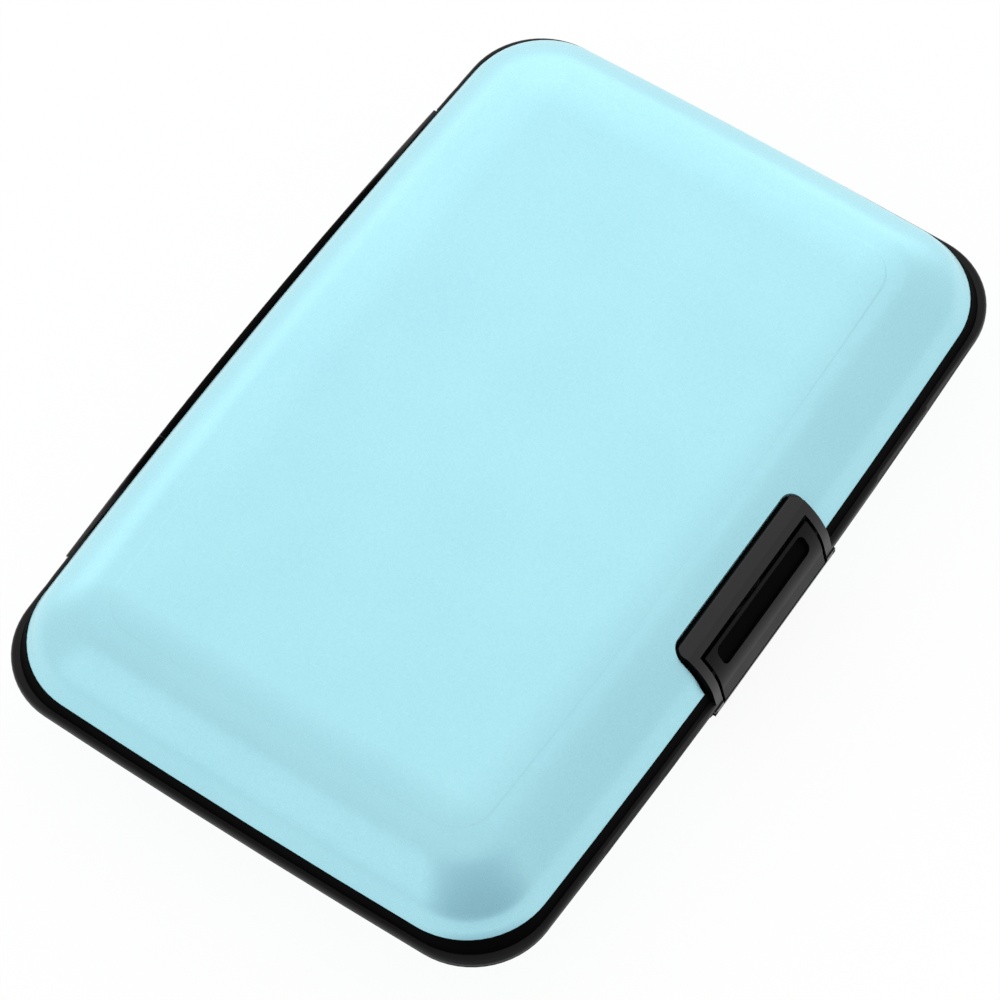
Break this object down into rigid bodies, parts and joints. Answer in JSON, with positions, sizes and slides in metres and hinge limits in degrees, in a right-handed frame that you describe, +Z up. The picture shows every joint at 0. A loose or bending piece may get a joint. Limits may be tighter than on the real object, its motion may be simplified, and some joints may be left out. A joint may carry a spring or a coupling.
{
  "type": "card case",
  "caption": "Slim metal case for cards: two pressed aluminium shells on moulded frames, hinged on a long side, with a rocker latch and a folded card file",
  "frame": {"origin": "middle of the base shell's outer face, which the case rests on", "axes": "X along the case, +Y towards the hinge side, -Y towards the latch, +Z up through the lid"},
  "size_m": [0.1098, 0.0739, 0.0184],
  "materials": {
    "shell_paint": "aluminium sheet with a pale blue satin coat",
    "black_plastic": "moulded black ABS, lightly glossy",
    "steel": "bright drawn steel",
    "adhesive": "double-sided adhesive film",
    "foam": "white foam tape",
    "leaf_plastic": "matt black polypropylene sheet",
    "film": "thin folded black polypropylene film"
  },
  "bodies": {
    "base": {"base_shell": "shell_paint", "base_frame": "black_plastic", "base_tape": "adhesive", "base_foam_tape": "foam", "base_panel": "leaf_plastic", "hinge_pin": "steel", "gusset_left_1": "film", "gusset_right_1": "film", "spine_1": "film"},
    "lid": {"lid_shell": "shell_paint", "lid_frame": "black_plastic", "lid_tape": "adhesive", "lid_foam_tape": "foam", "lid_panel": "leaf_plastic", "latch_pin": "steel", "latch_spring": "steel"},
    "latch": {"latch_lever": "black_plastic"},
    "divider_1": {"divider_1": "leaf_plastic", "gusset_left_2": "film", "gusset_right_2": "film", "spine_2": "film"},
    "divider_2": {"divider_2": "leaf_plastic", "gusset_left_3": "film", "gusset_right_3": "film", "spine_3": "film"},
    "divider_3": {"divider_3": "leaf_plastic", "gusset_left_4": "film", "gusset_right_4": "film", "spine_4": "film"},
    "divider_4": {"divider_4": "leaf_plastic", "gusset_left_5": "film", "gusset_right_5": "film", "spine_5": "film"},
    "divider_5": {"divider_5": "leaf_plastic", "gusset_left_6": "film", "gusset_right_6": "film", "spine_6": "film"}
  },
  "joints": [
    {"name": "lid_hinge", "type": "hinge", "parent": "base", "child": "lid", "pos_m": [0, 0.0361, 0.0092], "axis": [-1, 0, 0], "range_deg": [0, 75]},
    {"name": "latch_press", "type": "hinge", "parent": "lid", "child": "latch", "pos_m": [0, -0.0346, 0.0124], "axis": [-1, 0, 0], "range_deg": [0, 4], "stiffness_Nm_per_rad": 0.01, "springref_deg": -5.73},
    {"name": "divider_1_turn", "type": "hinge", "parent": "base", "child": "divider_1", "pos_m": [0, 0.0361, 0.0092], "axis": [-1, 0, 0], "range_deg": [0, 12.5]},
    {"name": "divider_2_turn", "type": "hinge", "parent": "base", "child": "divider_2", "pos_m": [0, 0.0361, 0.0092], "axis": [-1, 0, 0], "range_deg": [0, 25]},
    {"name": "divider_3_turn", "type": "hinge", "parent": "base", "child": "divider_3", "pos_m": [0, 0.0361, 0.0092], "axis": [-1, 0, 0], "range_deg": [0, 37.5]},
    {"name": "divider_4_turn", "type": "hinge", "parent": "base", "child": "divider_4", "pos_m": [0, 0.0361, 0.0092], "axis": [-1, 0, 0], "range_deg": [0, 50]},
    {"name": "divider_5_turn", "type": "hinge", "parent": "base", "child": "divider_5", "pos_m": [0, 0.0361, 0.0092], "axis": [-1, 0, 0], "range_deg": [0, 62.5]}
  ],
  "couplings": [
    {"joint": "divider_1_turn", "follows": "lid_hinge", "ratio": 0.16667},
    {"joint": "divider_2_turn", "follows": "lid_hinge", "ratio": 0.33333},
    {"joint": "divider_3_turn", "follows": "lid_hinge", "ratio": 0.5},
    {"joint": "divider_4_turn", "follows": "lid_hinge", "ratio": 0.66667},
    {"joint": "divider_5_turn", "follows": "lid_hinge", "ratio": 0.83333}
  ]
}
